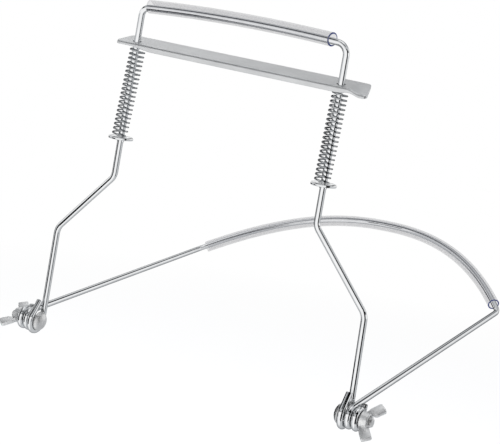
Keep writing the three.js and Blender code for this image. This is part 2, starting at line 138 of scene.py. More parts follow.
def add_node(tree: bpy.types.NodeTree, kind: str, links: dict | None = None, **settings) -> bpy.types.Node:
    """Add a node with its settings and links.

    Args:
        tree: The tree that gets the node.
        kind: The node's bl_idname.
        links: Input name or number, mapped to an output socket to link or to a value to set.
        settings: Attributes of the node.

    Returns:
        The new node.
    """
    node = tree.nodes.new(kind)
    for name, value in settings.items():
        setattr(node, name, value)
    for key, value in (links or {}).items():
        if isinstance(value, bpy.types.NodeSocket):
            tree.links.new(value, node.inputs[key])
        else:
            node.inputs[key].default_value = value
    return node


def pattern_scale(size_mm: float) -> float:
    """Noise scale whose features are about size_mm across on Object coordinates in metres."""
    return 1.0 / (size_mm * MM)


def cleared(owner: bpy.types.Material | bpy.types.World) -> bpy.types.NodeTree:
    """Turn on the nodes of a material or a world and clear them.

    Args:
        owner: The material or world.

    Returns:
        Its tree, with nothing in it.
    """
    owner.use_nodes = True
    owner.node_tree.nodes.clear()
    return owner.node_tree


@dataclass(frozen=True)
class Finish:
    """A surface: a colour that an aged one clouds, and a polish and bump that follow its grain.

    The layers are a noise's detail and its roughness.
    """

    name: str
    colour: str
    aged_colour: str
    roughness: float
    roughness_spread: float
    grain_mm: float
    grain_stretch: tuple[float, float, float]
    bump_depth_mm: float
    cloud_mm: float
    grain_layers: tuple[float, float] = (4.0, 0.6)
    grain_span: tuple[float, float] = (0.3, 0.7)
    cloud_layers: tuple[float, float] = (3.0, 0.55)
    cloud_span: tuple[float, float] = (0.35, 0.75)
    bump_strength: float = 0.25

    def own_settings(self) -> dict[str, float | tuple[float, float, float, float]]:
        """What only this kind of surface sets on the shader."""
        return {}

    @cache
    def material(self) -> bpy.types.Material:
        """Build the material on Object coordinates, once for all its pieces.

        Returns:
            The material.
        """
        made = bpy.data.materials.new(self.name)
        tree = cleared(made)
        place = add_node(tree, "ShaderNodeTexCoord").outputs["Object"]
        along = add_node(tree, "ShaderNodeMapping", {"Vector": place, "Scale": self.grain_stretch})
        grain, cloud = (
            add_node(tree, "ShaderNodeTexNoise", {
                "Vector": where, "Scale": pattern_scale(size), "Detail": detail, "Roughness": roughness})
            for where, size, (detail, roughness) in (
                (along.outputs[0], self.grain_mm, self.grain_layers),
                (place, self.cloud_mm, self.cloud_layers)))
        polish = add_node(tree, "ShaderNodeMapRange", {
            "Value": grain.outputs["Fac"],
            "From Min": self.grain_span[0], "From Max": self.grain_span[1],
            "To Min": self.roughness - self.roughness_spread,
            "To Max": self.roughness + self.roughness_spread})
        bump = add_node(tree, "ShaderNodeBump", {
            "Height": grain.outputs["Fac"], "Strength": self.bump_strength,
            "Distance": self.bump_depth_mm * MM})
        aged = add_node(tree, "ShaderNodeMapRange", {
            "Value": cloud.outputs["Fac"],
            "From Min": self.cloud_span[0], "From Max": self.cloud_span[1]})
        colour = add_node(tree, "ShaderNodeMix", {
            0: aged.outputs[0], 6: linear(self.colour), 7: linear(self.aged_colour)}, data_type="RGBA")
        shader = add_node(tree, "ShaderNodeBsdfPrincipled", {
            "Base Color": colour.outputs[2], "Roughness": polish.outputs[0],
            "Normal": bump.outputs[0], **self.own_settings()})
        add_node(tree, "ShaderNodeOutputMaterial", {"Surface": shader.outputs[0]})
        return made


@dataclass(frozen=True)
class MetalFinish(Finish):
    """Plated or drawn metal, with a drawn or rolled grain and the mottle of its wear."""

    # Rim tint at a grazing look: a grey or black one is painted shade on the rims; white paints none
    painted_rim_shade: str = "ffffff"

    def own_settings(self) -> dict[str, float | tuple[float, float, float, float]]:
        """Metal mirrors in its own colour, and at a grazing look in its rim tint: painted shade that
        darkens its rims.
        """
        return {"Metallic": 1.0, "Specular Tint": linear(self.painted_rim_shade)}


# Bright chromium plate over drawn steel wire: a mirror with faint lengthways draw marks; its grey rim tint
# is painted shade, darkening the wire's rims and the gaps between the eyes' turns at a grazing look
CHROME_WIRE = MetalFinish("chrome_plated_wire", "f4f5f6", "ebeced", 0.035, 0.015, 0.4, (1, 1, 0.05),
                          0.0006, 9.0, painted_rim_shade="949698")
# Chromium plate over cold-rolled sheet: rolled along its length, with a few soft smears
CHROME_SHEET = MetalFinish("chrome_plated_sheet", "e4e5e6", "d8d9da", 0.42, 0.05, 0.5, (0.06, 1, 1),
                           0.001, 14.0)
# Chromium plate on a stamped washer: bright, with faint tumbling marks
CHROME_WASHER = MetalFinish("chrome_plated_washer", "eeeff0", "dfe0e1", 0.1, 0.04, 0.35, (1, 1, 1),
                            0.002, 2.5)
# Nickel plate on a cold-headed bolt: softer and greyer than chromium
NICKEL = MetalFinish("nickel_plated_steel", "e6e6e6", "d6d6d6", 0.42, 0.05, 0.35, (1, 1, 1), 0.003, 2.5)
# Zinc plate on a stamped wing nut: pale and matt, with a fine crystal mottle
ZINC = MetalFinish("zinc_plated_steel", "fcfcfc", "f2f3f4", 0.5, 0.06, 0.3, (1, 1, 1), 0.006, 1.6)
# Drawn music wire, unplated: darker than the chrome, partly its own tone and partly painted shade for the
# dark between the spring's turns; its near-black rim tint is painted shade at a grazing look
MUSIC_WIRE = MetalFinish("drawn_music_wire", "bec0c2", "aeb0b2", 0.04, 0.015, 0.3, (1, 1, 1),
                         0.0006, 1.2, painted_rim_shade="101214")


@dataclass(frozen=True)
class VinylFinish(Finish):
    """Soft tubing: glossy, a little milky in clouds, with faint drag marks."""

    grain_layers: tuple[float, float] = (2.0, 0.4)
    cloud_layers: tuple[float, float] = (2.0, 0.4)
    cloud_span: tuple[float, float] = (0.3, 0.7)
    bump_strength: float = 0.2
    alpha: float = 1.0
    gloss: float = 0.5
    ior: float = 1.53

    def own_settings(self) -> dict[str, float | tuple[float, float, float, float]]:
        """Vinyl lets a share of the light through, and shines as its gloss says."""
        return {"IOR": self.ior, "Specular IOR Level": self.gloss, "Alpha": self.alpha}


# Plasticised PVC tube, extruded clear: the wire shows through it, under a faint milky grey
CLEAR_VINYL = VinylFinish("clear_vinyl_tube", "8c8c94", "82828a", 0.1, 0.03, 2.5, (1, 1, 1), 0.0005, 9.0,
                          alpha=0.235, gloss=0.22)
# The inside of the tube: nearly unseen, so that the tube's rims look as dense as its middle
BORE_VINYL = VinylFinish("clear_vinyl_bore", "8c8c94", "82828a", 0.1, 0.03, 2.5, (1, 1, 1), 0.0005, 9.0,
                         alpha=0.05, gloss=0.1)
# The same tube where a blade cut it: light gathers in the wall and shows blue
CUT_VINYL = VinylFinish("cut_vinyl_edge", "26418f", "1f3880", 0.3, 0.09, 2.5, (1, 1, 1), 0.003, 9.0)


# Meshes

def placed(name: str, data: bpy.types.ID) -> bpy.types.Object:
    """Put a mesh, curve, camera or lamp into the scene.

    Args:
        name: The object's name.
        data: What it holds.

    Returns:
        The new object, at the origin.
    """
    piece = bpy.data.objects.new(name, data)
    bpy.context.scene.collection.objects.link(piece)
    return piece


def smooth_mesh(name: str, mesh: bpy.types.Mesh, sharp_degrees: float) -> bpy.types.Object:
    """Put a mesh into the scene as a smooth object.

    Args:
        name: The piece's name.
        mesh: The mesh.
        sharp_degrees: Edges that turn by more than this stay sharp.

    Returns:
        The new object.
    """
    mesh.shade_smooth()
    mesh.set_sharp_from_angle(angle=math.radians(sharp_degrees))
    return placed(name, mesh)


def from_bmesh(name: str, build: bmesh.types.BMesh, sharp_degrees: float = 40.0) -> bpy.types.Object:
    """Turn a bmesh into a smooth object whose hard edges stay sharp.

    Args:
        name: The piece's name.
        build: The mesh data, freed here.
        sharp_degrees: Edges that turn by more than this stay sharp.

    Returns:
        The new object.
    """
    bmesh.ops.recalc_face_normals(build, faces=build.faces)
    mesh = bpy.data.meshes.new(name)
    build.to_mesh(mesh)
    build.free()
    return smooth_mesh(name, mesh, sharp_degrees)


def baked(piece: bpy.types.Object, sharp_degrees: float) -> bpy.types.Object:
    """Replace a piece by the plain mesh that its modifiers make.

    Args:
        piece: An object with live modifiers.
        sharp_degrees: Edges that turn by more than this stay sharp.

    Returns:
        A new object of the same name with no modifier.
    """
    graph = bpy.context.evaluated_depsgraph_get()
    mesh = bpy.data.meshes.new_from_object(piece.evaluated_get(graph))
    name = piece.name
    bpy.data.objects.remove(piece)
    mesh.name = name
    return smooth_mesh(name, mesh, sharp_degrees)


def skin(build: bmesh.types.BMesh, rows: list[list[bmesh.types.BMVert]]) -> list[bmesh.types.BMFace]:
    """Join rows of vertices, each row going round once, by four-sided faces.

    Args:
        build: The bmesh that holds the vertices.
        rows: The rows, all of the same length.

    Returns:
        The new faces.
    """
    count = len(rows[0])
    return [build.faces.new((here[i], here[(i + 1) % count], after[(i + 1) % count], after[i]))
            for here, after in zip(rows, rows[1:]) for i in range(count)]


def add_loft(build: bmesh.types.BMesh, sections: list[list[Vector]]) -> None:
    """Skin a row of sections and close both ends.

    Args:
        build: The bmesh that gets the loft.
        sections: The sections, each a list of as many points, going round once.
    """
    rows = [[build.verts.new(point) for point in section] for section in sections]
    skin(build, rows)
    build.faces.new(list(reversed(rows[0])))
    build.faces.new(rows[-1])


def turned(profile: list[tuple[float, float]], segments: int,
           ridge: Callable[[float, float, float], float]) -> bmesh.types.BMesh:
    """Turn a profile of radius and height about Z, from the axis to the axis.

    Args:
        profile: Radius and height pairs in millimetres, the first and last on the axis.
        segments: Steps round the turn.
        ridge: Function of radius, height and turn share that gives the radius there.

    Returns:
        The new bmesh, in millimetres.
    """
    build = bmesh.new()
    first = build.verts.new((0, 0, profile[0][1]))
    last = build.verts.new((0, 0, profile[-1][1]))
    rings = []
    for radius, height in profile[1:-1]:
        ring = []
        for step in range(segments):
            share = step / segments
            wide = ridge(radius, height, share)
            angle = share * math.tau
            ring.append(build.verts.new((wide * math.cos(angle), wide * math.sin(angle), height)))
        rings.append(ring)
    for step in range(segments):
        beside = (step + 1) % segments
        build.faces.new((first, rings[0][beside], rings[0][step]))
        build.faces.new((last, rings[-1][step], rings[-1][beside]))
        for low, high in zip(rings, rings[1:]):
            build.faces.new((low[step], low[beside], high[beside], high[step]))
    return build


def add_ring(build: bmesh.types.BMesh, profile: list[tuple[float, float]], segments: int) -> None:
    """Turn a closed profile of radius and height about Z into a ring.

    Args:
        build: The bmesh that gets the ring.
        profile: Radius and height pairs that go round the section once.
        segments: Steps round the turn.
    """
    rows = []
    for step in range(segments):
        angle = math.tau * step / segments
        rows.append([
            build.verts.new((radius * math.cos(angle), radius * math.sin(angle), height))
            for radius, height in profile])
    skin(build, [*rows, rows[0]])


def rounded(points: list[Vector], radius: float, steps: int = 4) -> list[Vector]:
    """Round the corners of a flat closed outline.

    Args:
        points: The outline's corners.
        radius: The corner radius, limited to a third of the shorter side beside it.
        steps: Steps in each corner.

    Returns:
        The outline with its corners drawn as short curves.
    """
    outline = []
    count = len(points)
    for index, corner in enumerate(points):
        before = points[index - 1] - corner
        after = points[(index + 1) % count] - corner
        reach = min(radius, before.length / 3, after.length / 3)
        start = corner + before.normalized() * reach
        end = corner + after.normalized() * reach
        for step in range(steps + 1):
            t = step / steps
            outline.append(start * (1 - t) ** 2 + corner * 2 * t * (1 - t) + end * t ** 2)
    return outline


# Paths

def smooth_share(value: float, start: float, end: float) -> float:
    """Ease from 0 at start to 1 at end."""
    share = min(max((value - start) / (end - start), 0.0), 1.0)
    return share * share * (3 - 2 * share)


def bent_route(vertices: list[tuple[Vector, float]], bend_steps: int = 14) -> list[Vector]:
    """Draw straight runs between vertices with a round bend at each vertex that has a radius.

    Args:
        vertices: Place and bend radius of each vertex, in millimetres.
        bend_steps: Steps in each bend.

    Returns:
        The points of the route.
    """
    points = []
    for index, (corner, radius) in enumerate(vertices):
        if index in (0, len(vertices) - 1) or radius == 0:
            points.append(corner.copy())
            continue
        arriving = (corner - vertices[index - 1][0]).normalized()
        leaving = (vertices[index + 1][0] - corner).normalized()
        turn = arriving.angle(leaving)
        start = corner - arriving * radius * math.tan(turn / 2)
        inward = (leaving - arriving * arriving.dot(leaving)).normalized()
        for step in range(bend_steps + 1):
            angle = turn * step / bend_steps
            points.append(start + arriving * radius * math.sin(angle)
                          + inward * radius * (1 - math.cos(angle)))
    return points


@dataclass
class Eye:
    """A wire end wound round a pivot bolt: angles go from +Y towards +Z, in degrees."""

    radius: float
    start_angle: float
    wrap: float
    sense: int
    spread: float
    tail: float
    shift: float = 0.0
    shift_start: float = 0.0
    shift_end: float = 1.0
    steps_per_turn: int = 48

    def route(self, side: Side) -> list[Vector]:
        """Points of the winding and its straight tail.

        Args:
            side: The side of the rack that the eye is on.

        Returns:
            The points from where the run meets the eye to the cut end.
        """
        steps = math.ceil(self.wrap / 360 * self.steps_per_turn)
        points = []
        for step in range(steps + 1):
            wound = self.wrap * step / steps
            angle = math.radians(self.start_angle + self.sense * wound)
            x = self.spread + self.shift * smooth_share(wound, self.shift_start, self.shift_end)
            points.append(Vector((
                side.value * x, self.radius * math.cos(angle), self.radius * math.sin(angle))))
        angle = math.radians(self.start_angle + self.sense * self.wrap)
        heading = Vector((0, -math.sin(angle), math.cos(angle))) * self.sense
        points.append(points[-1] + heading * self.tail)
        return points


def meeting_angle(place: Vector, radius: float, sense: int) -> float:
    """Angle, in degrees, where a straight run from a place beside the pivot meets an eye."""
    reach = math.hypot(place.y, place.z)
    return math.degrees(math.atan2(place.z, place.y) + sense * math.acos(radius / reach))


def whole_route(side_route: Callable[[Side], tuple[list[tuple[Vector, float]], list[Vector]]],
                middle: list[Vector]) -> list[Vector]:
    """Join both sides of a wire over its middle.

    Args:
        side_route: Gives a side's vertices from the middle outwards, and the points of its eye.
        middle: The points between the sides, from left to right.

    Returns:
        The whole route, from the left cut end to the right one.
    """
    (left, left_eye), (right, right_eye) = (side_route(side) for side in Side)
    run = bent_route([*reversed(left), *((point, 0.0) for point in middle), *right])
    return [*reversed(left_eye), *run[1:-1], *right_eye]


# Geometry Nodes

def new_group(name: str, inputs: dict[str, str], output: str) -> bpy.types.NodeTree:
    """Start a Geometry Nodes group.

    Args:
        name: The group's name.
        inputs: Name of each input, mapped to its kind.
        output: Name of the geometry that comes out.

    Returns:
        The group, with its sockets and no node.
    """
    tree = bpy.data.node_groups.new(name, "GeometryNodeTree")
    for label, kind in inputs.items():
        tree.interface.new_socket(label, in_out="INPUT", socket_type=f"NodeSocket{kind}")
    tree.interface.new_socket(output, in_out="OUTPUT", socket_type="NodeSocketGeometry")
    return tree


@cache
def round_wire_tree() -> bpy.types.NodeTree:
    """Sweep a round section along a curve and give it its material.

    Returns:
        The node group, with inputs for the wire's radius, its sides and its material.
    """
    tree = new_group("round_wire", {
        "Route": "Geometry", "Wire radius": "Float", "Sides": "Int", "Finish": "Material"}, "Wire")
    given = add_node(tree, "NodeGroupInput").outputs
    section = add_node(tree, "GeometryNodeCurvePrimitiveCircle", {
        "Resolution": given["Sides"], "Radius": given["Wire radius"]})
    swept = add_node(tree, "GeometryNodeCurveToMesh", {
        "Curve": given["Route"], "Profile Curve": section.outputs["Curve"], "Fill Caps": True})
    real = add_node(tree, "GeometryNodeRealizeInstances", {"Geometry": swept.outputs["Mesh"]})
    painted = add_node(tree, "GeometryNodeSetMaterial", {
        "Geometry": real.outputs["Geometry"], "Material": given["Finish"]})
    add_node(tree, "NodeGroupOutput", {"Wire": painted.outputs["Geometry"]})
    return tree


@cache
def spring_tree() -> bpy.types.NodeTree:
    """Wind a compression spring of round wire up the Z axis.

    Returns:
        The node group, with inputs for the coil's sizes, its turns, its lean and its material.
    """
    tree = new_group("compression_spring", {
        "Seat": "Geometry", "Turns": "Float", "Coil radius": "Float", "Height": "Float",
        "Wire radius": "Float", "Steps per turn": "Int", "Sides": "Int", "Lean": "Vector",
        "Place": "Vector", "Finish": "Material"}, "Spring")
    given = add_node(tree, "NodeGroupInput").outputs
    coil = add_node(tree, "GeometryNodeCurveSpiral", {
        "Resolution": given["Steps per turn"], "Rotations": given["Turns"],
        "Start Radius": given["Coil radius"], "End Radius": given["Coil radius"],
        "Height": given["Height"]})
    wire = add_node(tree, "GeometryNodeGroup", {
        "Route": coil.outputs["Curve"], "Wire radius": given["Wire radius"], "Sides": given["Sides"],
        "Finish": given["Finish"]}, node_tree=round_wire_tree())
    height = add_node(tree, "ShaderNodeSeparateXYZ", {
        0: add_node(tree, "GeometryNodeInputPosition").outputs[0]})
    share = add_node(tree, "ShaderNodeMath", {
        0: height.outputs["Z"], 1: given["Height"]}, operation="DIVIDE")
    askew = add_node(tree, "ShaderNodeVectorMath", {
        0: given["Lean"], "Scale": share.outputs[0]}, operation="SCALE")
    leant = add_node(tree, "GeometryNodeSetPosition", {
        "Geometry": wire.outputs["Wire"], "Offset": askew.outputs[0]})
    moved = add_node(tree, "GeometryNodeTransform", {
        "Geometry": leant.outputs["Geometry"], "Translation": given["Place"]})
    add_node(tree, "NodeGroupOutput", {"Spring": moved.outputs["Geometry"]})
    return tree


def run_tree(piece: bpy.types.Object, tree: bpy.types.NodeTree, inputs: dict) -> bpy.types.Object:
    """Run a node group on an object and keep the plain mesh that it makes.

    Args:
        piece: The object that the group works on.
        tree: The node group.
        inputs: Input name mapped to its value.

    Returns:
        A new object of the same name with no modifier.
    """
    modifier = piece.modifiers.new(tree.name, "NODES")
    modifier.node_group = tree
    for item in tree.interface.items_tree:
        if item.in_out == "INPUT" and item.name in inputs:
            modifier[item.identifier] = inputs[item.name]
    return baked(piece, WIRE_SHARP_DEGREES)


def wire_piece(name: str, route: list[Vector], radius_mm: float, finish: MetalFinish,
               sides: int = 20, chamfer_mm: float = 0.3) -> bpy.types.Object:
    """Make a round wire with lightly broken ends along a route.

    Args:
        name: The piece's name.
        route: The centre line, in millimetres about the pivot axis.
        radius_mm: The wire's radius.
        finish: The wire's finish.
        sides: Sides of its section.
        chamfer_mm: How much the cut ends are broken.

    Returns:
        The finished piece.
    """
    ends = [(route[1] - route[0]).normalized(), (route[-2] - route[-1]).normalized()]
    points = [route[0], route[0] + ends[0] * chamfer_mm, *route[1:-1],
              route[-1] + ends[1] * chamfer_mm, route[-1]]
    curve = bpy.data.curves.new(name, "CURVE")
    curve.dimensions = "3D"
    line = curve.splines.new("POLY")
    line.points.add(len(points) - 1)
    for point, place in zip(line.points, points):
        point.co = (*DATUM.place(*place), 1.0)
        point.radius = 1.0
    for end in (0, -1):
        line.points[end].radius = 1.0 - chamfer_mm / radius_mm
    return run_tree(placed(name, curve), round_wire_tree(), {
        "Wire radius": radius_mm * MM, "Sides": sides, "Finish": finish.material()})


def sleeve_piece(name: str, route: list[Vector], outer: float, wall: float, sides: int = 32,
                 end_cut: float = 0.0) -> bpy.types.Object:
    """Make a clear tube with a wall and cut ends along a route.

    Args:
        name: The piece's name.
        route: The centre line, in millimetres about the pivot axis.
        outer: Outside diameter.
        wall: Wall thickness.
        sides: Sides of its section.
        end_cut: How far the last end is cut askew, in degrees, short on the front side.

    Returns:
        The finished piece.
    """
    build = bmesh.new()
    tubes = []
    for radius in (outer / 2, outer / 2 - wall):
        rows = []
        for index, centre in enumerate(route):
            before = route[max(index - 1, 0)]
            after = route[min(index + 1, len(route) - 1)]
            along = (after - before).normalized()
            across = along.cross(Vector((0, 0, 1))).normalized()
            up = across.cross(along).normalized()
            back = math.tan(math.radians(end_cut)) if index == len(route) - 1 else 0.0
            rows.append([
                build.verts.new(DATUM.place(*(
                    centre + (across * math.cos(a) + up * math.sin(a)) * radius
                    - along * back * (1 + math.cos(a)) * radius)))
                for a in (math.tau * step / sides for step in range(sides))])
        tubes.append(rows)
    outside, bore = tubes
    surfaces = (CLEAR_VINYL, CUT_VINYL, BORE_VINYL)
    for rows, surface in ((outside, CLEAR_VINYL), (bore, BORE_VINYL),
                          ([outside[0], bore[0]], CLEAR_VINYL), ([outside[-1], bore[-1]], CUT_VINYL)):
        for face in skin(build, rows):
            face.material_index = surfaces.index(surface)
    piece = from_bmesh(name, build)
    for surface in surfaces:
        piece.data.materials.append(surface.material())
    piece.visible_glossy = False  # clear tube hardly shades what the wire inside it mirrors
    return piece


def finish_piece(piece: bpy.types.Object, body: Body, nodes: tuple[str, ...],
                 finish: MetalFinish | None = None) -> bpy.types.Object:
    """Give a piece its finish and its body, hide the CAD nodes that it stands for, and log it.

    Args:
        piece: The finished mesh.
        body: The body that it rides on.
        nodes: The nodes that it stands for.
        finish: The metal finish, where the mesh has no material yet.

    Returns:
        The same piece.
    """
    if finish:
        piece.data.materials.clear()
        piece.data.materials.append(finish.material())
    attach(piece, body.value)
    if nodes:
        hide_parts(*nodes)
    LOG.info("%s rides on %s, %d faces", piece.name, body.value, len(piece.data.polygons))
    return piece


# Sub-assemblies

@dataclass
class PivotStack:
    """What lies along each pivot axis, from the bolt head outwards."""

    wire: float = 3.0
    touch_gap: float = 0.3
    bolt: float = 5.0
    frame_eye_clearance: float = 1.3
    neck_eye_clearance: float = 0.4
    eye_turn_gap: float = 0.45
    elbow_spread: float = 85.7
    frame_eye_lean: float = 1.2
    nut_length: float = 3.8
    bolt_protrusion: float = 1.5
    pitch: float = field(init=False)
    frame_eye_radius: float = field(init=False)
    neck_eye_radius: float = field(init=False)
    frame_eye_spread: float = field(init=False)
    head_face: float = field(init=False)
    neck_inner: float = field(init=False)
    nut_face: float = field(init=False)
    bolt_end: float = field(init=False)

    def __post_init__(self) -> None:
        """Work out the places that follow from the wire, the gaps and the bolt."""
        self.pitch = self.wire + self.eye_turn_gap
        self.frame_eye_radius = self.bolt / 2 + self.frame_eye_clearance + self.wire / 2
        self.neck_eye_radius = self.bolt / 2 + self.neck_eye_clearance + self.wire / 2
        self.frame_eye_spread = self.elbow_spread + self.frame_eye_lean
        self.head_face = self.frame_eye_spread - self.wire / 2 - self.touch_gap
        self.neck_inner = self.frame_eye_spread + self.wire + self.touch_gap
        self.nut_face = self.neck_inner + self.pitch + self.wire / 2 + self.touch_gap
        self.bolt_end = self.nut_face + self.nut_length + self.bolt_protrusion


@dataclass
class ClampFrame:
    """The bent frame wire with its top bar, legs, shoulders, elbows and pivot eyes, and its sleeve."""

    stack: PivotStack
    leg_spread: float = 55.6
    leg_depth: float = 2.6
    bar_corner_height: float = 163.2
    bar_bow: float = 1.8
    left_lean: float = 1.6
    left_bar_bend: float = 4.0
    right_bar_bend: float = 5.5
    bar_bend_room: float = 1.5
    shoulder_height: float = 80.3
    shoulder_bend: float = 6.0
    elbow_depth: float = 5.1
    elbow_height: float = 46.8
    elbow_skew: float = 1.1
    elbow_bend: float = 8.0
    eye_wrap: float = 215.0
    tail: float = 8.6
    bar_steps: int = 40
    sleeve_outer: float = 6.5
    sleeve_wall: float = 0.7
    sleeve_left: float = -50.2
    sleeve_right: float = 48.4
    sleeve_lift: float = 0.663
    sleeve_right_cut: float = 16.0
    ear_width: float = 4.1
    ear_thickness: float = 1.5
    ear_height: float = 1.6
    ear_rows: int = 9
    ear_sides: int = 20
    ear_taper_power: float = 0.7
    ear_corner_power: float = 0.6
    ear_thinning_share: float = 0.18
    washer_seat: float = 98.9

    def bar_height(self, x: float) -> float:
        """Height of the top bar's centre line at a distance from the middle."""
        return self.bar_corner_height + self.bar_bow * (1 - (x / self.leg_spread) ** 2)

    def bar_point(self, x: float, lift: float) -> Vector:
        """Place over the bowed bar's centre line at a distance from the middle."""
        return Vector((x, self.leg_depth, self.bar_height(x) + lift))

    def leg_at(self, side: Side, height: float) -> float:
        """Where a leg stands at a height, from the middle: the left leg leans inwards."""
        share = (height - self.shoulder_height) / (self.bar_corner_height - self.shoulder_height)
        return side.value * (self.leg_spread - (self.left_lean * share if side is Side.LEFT else 0.0))

    def bar_points(self, start: float, end: float, lift: float) -> list[Vector]:
        """Find points of the bowed bar strictly between two places.

        Args:
            start: The left place, as a distance to the right of the middle.
            end: The right place.
            lift: How far the points lie over the bar's centre line.

        Returns:
            The points, from left to right.
        """
        step = 2 * self.leg_spread / self.bar_steps
        places = [-self.leg_spread + index * step for index in range(1, self.bar_steps)]
        return [self.bar_point(x, lift) for x in places if start < x < end]

    def side_route(self, side: Side) -> tuple[list[tuple[Vector, float]], list[Vector]]:
        """Vertices of one side from the corner down, and the points of its eye.

        Args:
            side: The side of the rack.

        Returns:
            The vertices with their bend radii, and the eye's points.
        """
        s = side.value
        elbow = Vector((
            s * self.stack.elbow_spread, self.elbow_depth, self.elbow_height - s * self.elbow_skew))
        start = meeting_angle(elbow, self.stack.frame_eye_radius, -1)
        eye = Eye(self.stack.frame_eye_radius, start, self.eye_wrap, -1, self.stack.frame_eye_spread,
                  self.tail).route(side)
        corner = self.leg_at(side, self.bar_corner_height)
        vertices = [
            (self.bar_point(corner, 0.0),
             self.left_bar_bend if side is Side.LEFT else self.right_bar_bend),
            (Vector((s * self.leg_spread, self.leg_depth, self.shoulder_height)), self.shoulder_bend),
            (elbow, self.elbow_bend),
            (eye[0], 0.0),
        ]
        return vertices, eye

    def build_ear(self, side: Side) -> bpy.types.Object:
        """Make the swaged ears of one leg, which hold its stop washer.

        Args:
            side: The side of the rack.

        Returns:
            The finished ears.
        """
        top = self.washer_seat - self.stack.touch_gap
        root = self.stack.wire / 4
        sections = []
        for row in range(self.ear_rows + 1):
            share = row / self.ear_rows
            taper = math.cos(share * math.pi / 2) ** self.ear_taper_power
            reach = root + (self.ear_width / 2 - root) * taper
            thinning = self.ear_thinning_share * (1 - math.sin(share * math.pi))
            thick = self.ear_thickness / 2 * (1 - thinning)
            outline = []
            for step in range(self.ear_sides):
                angle = math.tau * step / self.ear_sides
                x, y = (math.copysign(abs(turn) ** self.ear_corner_power, turn) * size
                        for turn, size in ((math.cos(angle), reach), (math.sin(angle), thick)))
                outline.append(DATUM.place(
                    self.leg_at(side, top) + x, self.leg_depth + y, top - self.ear_height * share))
            sections.append(outline)
        build = bmesh.new()
        add_loft(build, sections)
        piece = from_bmesh(f"{side.word}_leg_ears", build, sharp_degrees=50.0)
        return finish_piece(piece, Body.ARM, (), CHROME_WIRE)

    def build(self) -> None:
        """Build the wire, its ears and the clear sleeve on the top bar."""
        reach = self.leg_spread - self.right_bar_bend * self.bar_bend_room
        wire = wire_piece("frame_wire", whole_route(self.side_route, self.bar_points(-reach, reach, 0.0)),
                          self.stack.wire / 2, CHROME_WIRE)
        finish_piece(wire, Body.ARM, ("clamp_frame_wire",))
        for side in Side:
            self.build_ear(side)
        route = [self.bar_point(self.sleeve_left, self.sleeve_lift),
                 *self.bar_points(self.sleeve_left, self.sleeve_right, self.sleeve_lift),
                 self.bar_point(self.sleeve_right, self.sleeve_lift)]
        sleeve = sleeve_piece("bar_sleeve", route, self.sleeve_outer, self.sleeve_wall,
                              end_cut=self.sleeve_right_cut)
        finish_piece(sleeve, Body.ARM, ("top_bar_sleeve",))


@dataclass
class NeckLoop:
    """The neck wire with its two eyes, and the clear sleeve over the back of the loop."""

    stack: PivotStack
    bend_spread: float = 94.7
    bend_depth: float = 170.6
    bend_height: float = 26.5
    twist: float = 4.1
    bend_radius: float = 9.0
    loop_depth: float = 49.3
    loop_rise: float = 28.7
    loop_power: float = 2.25
    eye_end_angle: float = 720.0
    eye_shift_start: float = 175.0
    eye_shift_end: float = 305.0
    tail: float = 6.0
    loop_steps: int = 144
    sleeve_outer: float = 6.4
    sleeve_wall: float = 0.7
    sleeve_drop: float = 0.578
    sleeve_left_share: float = 0.97
    sleeve_right_share: float = 0.95

    def loop_point(self, share: float, drop: float) -> Vector:
        """Find a place on the loop behind the neck.

        Args:
            share: How far along: -1 at the left bend, 1 at the right one.
            drop: How far below the loop's centre line, in millimetres.

        Returns:
            The place about the pivot axis.
        """
        bulge = 1 - abs(share) ** self.loop_power
        return Vector((
            self.bend_spread * share,
            self.bend_depth + self.loop_depth * bulge,
            self.bend_height + self.loop_rise * bulge + self.twist * share - drop))

    def side_route(self, side: Side) -> tuple[list[tuple[Vector, float]], list[Vector]]:
        """The bend of one side, and the points of its eye.

        Args:
            side: The side of the rack.

        Returns:
            The bend's vertex and the eye's first place with their radii, and the eye's points.
        """
        bend = self.loop_point(side.value, 0.0)
        start = meeting_angle(bend, self.stack.neck_eye_radius, 1)
        eye = Eye(self.stack.neck_eye_radius, start, self.eye_end_angle - start, 1, self.stack.neck_inner,
                  self.tail, self.stack.pitch, self.eye_shift_start, self.eye_shift_end).route(side)
        return [(bend, self.bend_radius), (eye[0], 0.0)], eye

    def loop_shares(self, start: float, end: float) -> list[float]:
        """Even shares along the loop, strictly between two shares."""
        shares = [2 * index / self.loop_steps - 1 for index in range(1, self.loop_steps)]
        return [share for share in shares if start < share < end]

    def build(self) -> None:
        """Build the neck wire and its sleeve."""
        clear = 1 - self.bend_radius / (2 * self.bend_spread)
        loop = [self.loop_point(share, 0.0) for share in self.loop_shares(-clear, clear)]
        wire = wire_piece("neck_loop_wire", whole_route(self.side_route, loop), self.stack.wire / 2,
                          CHROME_WIRE)
        finish_piece(wire, Body.NECK, ("neck_wire",))
        start, end = -self.sleeve_left_share, self.sleeve_right_share
        margin = 1 / self.loop_steps
        shares = [start, *self.loop_shares(start + margin, end - margin), end]
        sleeve = sleeve_piece("neck_loop_sleeve", [self.loop_point(s, self.sleeve_drop) for s in shares],
                              self.sleeve_outer, self.sleeve_wall)
        finish_piece(sleeve, Body.NECK, ("neck_sleeve",))


